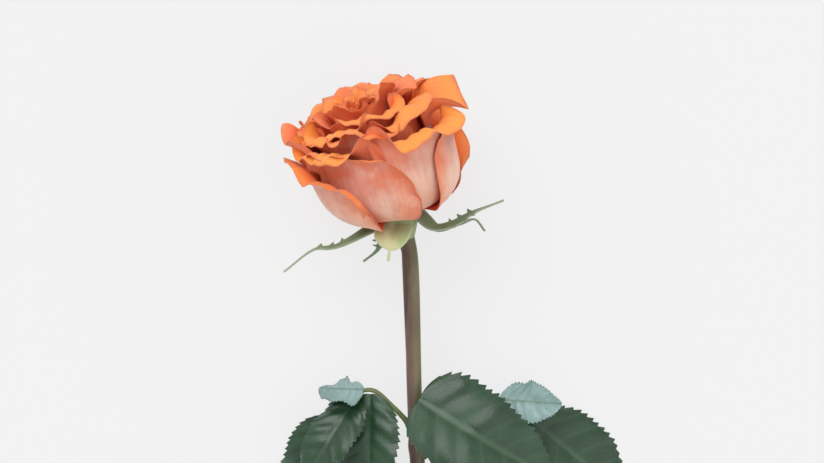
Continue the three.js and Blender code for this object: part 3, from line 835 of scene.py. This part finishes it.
def sepal(number, side, width, facing, through):
    """A blade from the rim of the receptacle through its points, with down along its margin."""
    turn = np.radians(side)
    root = TURN @ np.array([7.0 * np.cos(turn), 7.0 * np.sin(turn), -SEPAL_DROP])
    path = spline([root, *through], 110)
    rows = np.linspace(0, 1, len(path))
    broad = number == BROAD_SEPAL
    tongue = np.sqrt(np.clip(1 - (np.maximum(rows - 0.36, 0) / 0.40) ** 2, 0, 1))
    half = width / 2 * (np.maximum(tongue, 0.04) if broad else mix(0.75, 0.03, ease(rows * 1.1))) + 0.18
    if not broad:
        half = half + 2.0 * sum(np.exp(-((rows - place) / 0.014) ** 2) for place in (0.40, 0.52, 0.63))
    cup = 30 if broad else 14

    def slope(share, along):
        return cup * (1 - 2.2 * share) if broad else cup + 10 * share

    grid, U, V = blade_grid(path, facing, half, slope, slope, 10)
    vein = np.maximum(np.exp(-((U * half[:, None]) / 0.4) ** 2) * 0.5, ease((np.abs(U) - 0.88) / 0.08))
    return blade_piece(f"sepal_{number}_blade", grid, U, V, SEPAL_THICKNESS, 0 * U, vein,
                       downy_finish if broad else sepal_finish, f"sepal_{number}")


for number, (side, width, facing, through) in enumerate(SEPALS, 1):
    sepal(number, side, width, facing, through)
print(len(SEPALS), "sepals made")

# %% [markdown]
# ## The leaves
# A rose leaf is compound: a stalk with two pairs of leaflets and one at its end. The margin of each
# leaflet is cut into teeth that point towards its tip, and its side veins leave the midrib in pairs,
# bend forward and run out to the margin, with the tissue between them slightly raised.

# %% Leaf table
LEAVES = [
    ("leaf_left", 85, 140, [(-9, 8, 5.5), (-17, 14.5, 5.5), (-26, 12, 1.5), (-34, 5, -3.5)], [
        dict(at=0.52, tip=(-19, -33, 13), sag=5, facing=(-0.35, 0.2, 1), width=25),
        dict(at=0.55, tip=(-38, 15, 15), sag=2, facing=(0, -1, -0.5), width=19),
        dict(at=0.86, tip=(-33, -39, 6), sag=3, facing=(0, 0.2, 1), width=24),
        dict(at=0.62, tip=(-46, -24, 17), sag=7, facing=(-0.5, 0.2, 1), width=20),
        dict(at=1.0, tip=(-49, -45, 0), sag=-2, facing=(-0.1, 0.2, 1), width=26)]),
    ("leaf_right", 93, 45, [(5.5, 9, 6), (4.6, 16, 8), (14, 20.5, 5), (29, 19, 0), (42, 13, -6)], [
        dict(at=0.31, tip=(56, -14, 14), sag=10.6, facing=(0.1, 0.25, 1), width=37,
             base=0.32, behind=5.0),
        dict(at=0.36, tip=(42, -42, 0), sag=-1, facing=(-0.3, 0.1, 1), width=24),
        dict(at=0.78, tip=(57, 17, 17), sag=3, facing=(-0.1, -0.5, -0.9), width=19),
        dict(at=0.68, tip=(68, -46, 1), sag=-2, facing=(0.3, 0.2, 1), width=25),
        dict(at=1.0, tip=(89, -26, 0), sag=2, facing=(0.3, 0.3, 1), width=32)]),
    ("leaf_low", 186, 155, [(-10, 7, 6), (-22, 14, 5.5), (-35, 20, 1.5), (-48, 25, -3.5)], [
        dict(at=0.4, tip=(-34, -26, 0), sag=4, facing=(-0.2, 0.2, 1), width=26),
        dict(at=0.38, tip=(-18, 49, 0), sag=3, facing=(-0.1, -0.2, 1), width=22),
        dict(at=0.72, tip=(-60, -16, 0), sag=3, facing=(-0.2, 0.2, 1), width=27),
        dict(at=0.66, tip=(-46, 56, 0), sag=3, facing=(-0.2, -0.2, 1), width=22),
        dict(at=1.0, tip=(-94, 39, 0), sag=4, facing=(-0.3, 0, 1), width=30)]),
]
STALK_RADIUS = 1.1
LEAF_LIFT = 0.5        # how far the middle of a leaflet's tip is kept above the surface
LEAF_THICKNESS = 0.4
TEETH = 20
VEIN_PAIRS = 7


# %% Leaflets
def leaflet(name, number, stalk_path, node, at, tip, sag, facing, width, base=0.5, behind=-1.6):
    """A toothed blade with sunken veins, from a place on the stalk to its tip near the surface.

    behind is how far a heart-shaped blade reaches back past its joint. A blade that has turned over,
    and shows its pale underside, faces down."""
    joint = stalk_path[int(round(at * (len(stalk_path) - 1)))]
    end = np.array([node[0] + tip[0], node[1] + tip[1], FLOOR + LEAF_LIFT + tip[2]])
    outward = unit(end - joint)
    start = joint - outward * behind
    middle = (start + end) / 2 + np.array([0, 0, sag])
    path = spline([start, middle, end], 190)
    rows = np.linspace(0, 1, len(path))
    outline = (rows + 0.002) ** base * (1.01 - rows) ** 0.8
    half = width / 2 * outline / outline.max() + 0.25
    seed = sum(map(ord, name)) + number
    wavy = ripple(rows, [(1.6, 6.0), (3.4, 4.0)], seed)[:, None]

    def slope(share, along):
        return 12 - 26 * share ** 2 + np.interp(along[:, 0], rows, wavy[:, 0])[:, None] * share ** 2 * 3

    grid, U, V = blade_grid(path, facing, half, slope, slope, 14)
    tooth = (V * TEETH + 0.35 * np.abs(U)) % 1.0
    bite = np.abs(U) ** 14 * (tooth ** 1.2 - 0.45) * 0.11 * (ease(V / 0.06) * ease((1 - V) / 0.05))
    middle_line = path[:, None]
    grid = middle_line + (grid - middle_line) * (1 + bite[..., None])
    grid[..., 2] = np.maximum(grid[..., 2], FLOOR + LEAF_THICKNESS)   # where it would sink, it rests

    lean = V - 0.16 * np.abs(U) ** 1.25
    wave = np.cos(2 * np.pi * VEIN_PAIRS * lean)
    side_vein = ease((wave - 0.70) / 0.30) ** 2 * ease((1 - np.abs(U)) / 0.1)
    midrib = np.exp(-((U * half[:, None]) / 0.55) ** 2)
    vein = np.maximum(midrib, 0.45 * side_vein)
    quilt = 0.5 * (1 - wave) * 0.42 * ease(np.abs(U) / 0.25) * ease((1 - np.abs(U)) / 0.3)
    relief = quilt * ease(V / 0.15) * ease((1 - V) / 0.15) - 0.18 * midrib
    return blade_piece(f"{name}_leaflet_{number}_blade", grid, U, V, LEAF_THICKNESS, relief, vein,
                       leaf_finish, f"{name}_leaflet_{number}")


# %% Leaf stalks
def leaf(name, down, side, offsets, leaflets):
    """A stalk from the stem through its points, with its leaflets."""
    node = stem_at(down)
    turn = np.radians(side)
    start = node + np.array([np.cos(turn), 0, np.sin(turn)]) * 2.2
    stalk_path = spline([start, *(node + np.array(offset) for offset in offsets)], 120)
    rows = np.linspace(0, 1, len(stalk_path))
    radius = STALK_RADIUS * mix(1, 0.6, rows) + 0.9 * np.exp(-(rows / 0.06) ** 2)
    grid, faces = capped_rod(stalk_path, radius[:, None], 20, np.array([0.0, 0.0, 1.0]))
    points = beside_seat(grid.reshape(-1, 3))
    mesh_piece(name + "_stalk", points, faces, stalk_finish, name)
    for number, form in enumerate(leaflets, 1):
        leaflet(name, number, stalk_path, node, **form)


for name, down, side, offsets, leaflets in LEAVES:
    leaf(name, down, side, offsets, leaflets)
print(len(LEAVES), "leaves made")

# %% [markdown]
# ## Surface, light and camera
# A plain pale surface that glows a little, as a light table does, and two large soft lights. So the
# rose throws hardly any shadow. The camera looks straight down, which is how a rose that lies on a
# table shows what it would show standing in a vase.

# %% Surface
def surface():
    """A wide, plain sheet at the height on which the rose lies, lit from within as a light table is."""
    half = 3.0   # metres
    corners = np.array([(-half, -half, 0), (half, -half, 0), (half, half, 0), (-half, half, 0)])
    mesh = bpy.data.meshes.new("surface")
    mesh.from_pydata(corners.tolist(), [], [(0, 1, 2, 3)])
    finish = Finish("glowing paper", Roughness=0.9, Specular_IOR_Level=0.1,
                    Base_Color=(0.12, 0.12, 0.12, 1), Emission_Color=(1, 1, 1, 1),
                    Emission_Strength=0.735)
    mesh.materials.append(finish.material)
    sheet = bpy.data.objects.new("surface", mesh)
    bpy.context.scene.collection.objects.link(sheet)


surface()


# %% Lights
def soft_sun(name, direction, strength, spread):
    """An even light from a direction. spread is how wide its source looks, in degrees."""
    data = bpy.data.lights.new(name, "SUN")
    data.energy = strength
    data.angle = np.radians(spread)
    lamp = bpy.data.objects.new(name, data)
    bpy.context.scene.collection.objects.link(lamp)
    lamp.rotation_euler = Vector(direction).to_track_quat("Z", "Y").to_euler()
    return lamp


soft_sun("key light", (-0.35, 0.6, 0.8), 1.65, 45)
soft_sun("fill light", (0.7, -0.2, 0.8), 0.7, 80)

world = bpy.data.worlds.new("studio air")
world.use_nodes = True
world.node_tree.nodes["Background"].inputs["Color"].default_value = (1, 1, 1, 1)
world.node_tree.nodes["Background"].inputs["Strength"].default_value = 0.74
bpy.context.scene.world = world
bpy.context.scene.view_settings.view_transform = "Standard"

# %% Camera
CAMERA_RIGHT, CAMERA_DOWN = 4.28, 8.2   # from the seat to the middle of the view, in millimetres
CAMERA_HEIGHT = 0.918
camera_data = bpy.data.cameras.new("camera")
camera_data.lens = 100
camera_data.sensor_width = 36
camera_data.clip_end = 20
camera = bpy.data.objects.new("camera", camera_data)
camera.location = (SEAT[0] + CAMERA_RIGHT * MM, SEAT[1] - CAMERA_DOWN * MM, CAMERA_HEIGHT)
bpy.context.scene.collection.objects.link(camera)
bpy.context.scene.camera = camera
